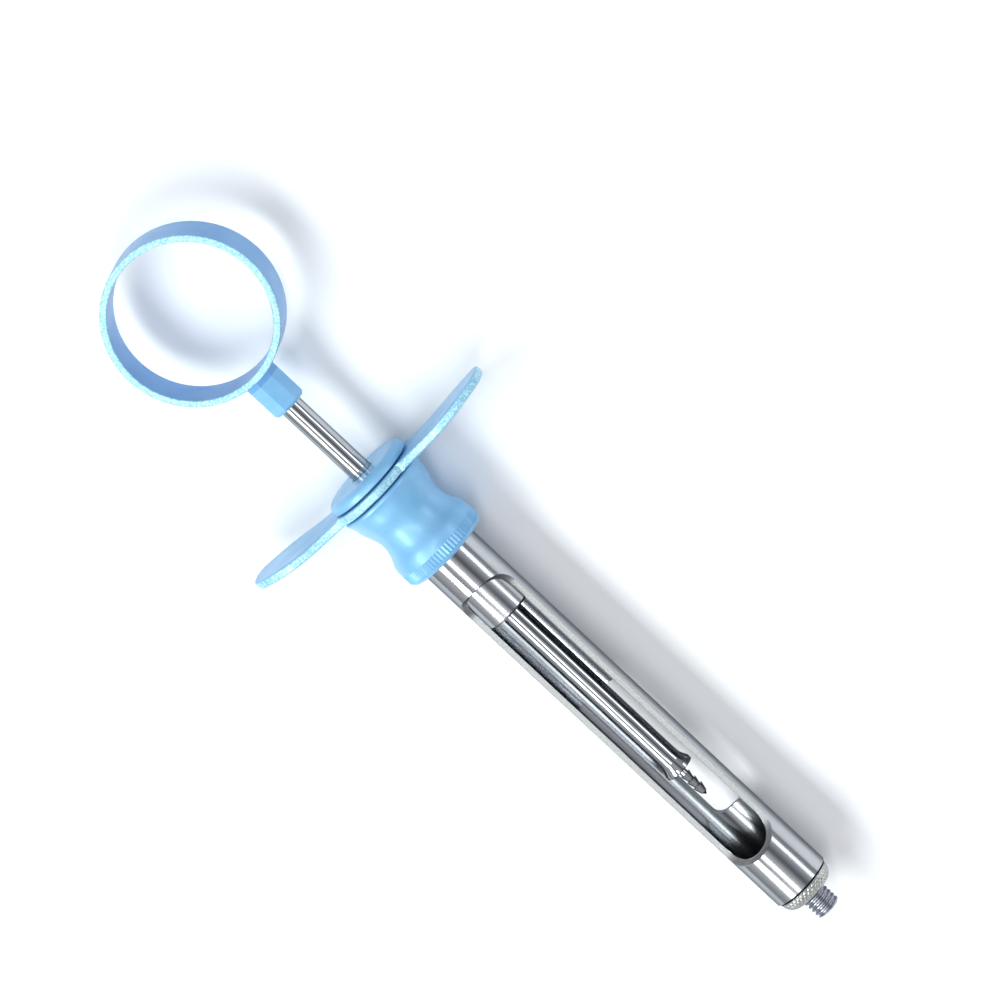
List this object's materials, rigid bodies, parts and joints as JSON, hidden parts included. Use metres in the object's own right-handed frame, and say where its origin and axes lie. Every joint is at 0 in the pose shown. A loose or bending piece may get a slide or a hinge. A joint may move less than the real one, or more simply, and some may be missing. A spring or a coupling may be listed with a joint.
{
  "type": "aspirating dental syringe",
  "caption": "Cartridge syringe with a windowed steel barrel, winged finger plate, thumb ring and a sliding rod that ends in a barbed harpoon.",
  "frame": {"origin": "on the barrel's axis at the base of the needle thread", "axes": "+X along the axis from the thumb ring to the needle, +Z the way the loading window faces, +Y completing the right-handed set along one wing of the finger plate"},
  "size_m": [0.1688, 0.0564, 0.0178],
  "materials": {
    "polished_steel": "polished",
    "blue_coating": "gloss",
    "black_rubber": "satin"
  },
  "bodies": {
    "barrel": {"barrel_tube": "polished_steel", "collar": "blue_coating", "finger_grip_plate": "blue_coating", "guide_cap": "blue_coating", "guide_bush": "polished_steel", "gland_washer": "polished_steel", "needle_adapter": "polished_steel"},
    "rod_seal": {"rod_o_ring": "black_rubber"},
    "plunger": {"piston_rod": "polished_steel", "harpoon": "polished_steel", "thumb_ring": "blue_coating"}
  },
  "joints": [
    {"name": "plunger_swivel", "type": "hinge", "parent": "barrel", "child": "rod_seal", "pos_m": [-0.1, 0, 0], "axis": [1, 0, 0], "continuous": true},
    {"name": "plunger_slide", "type": "slide", "parent": "rod_seal", "child": "plunger", "axis": [1, 0, 0], "range_m": [-0.0372, 0.0165]}
  ]
}
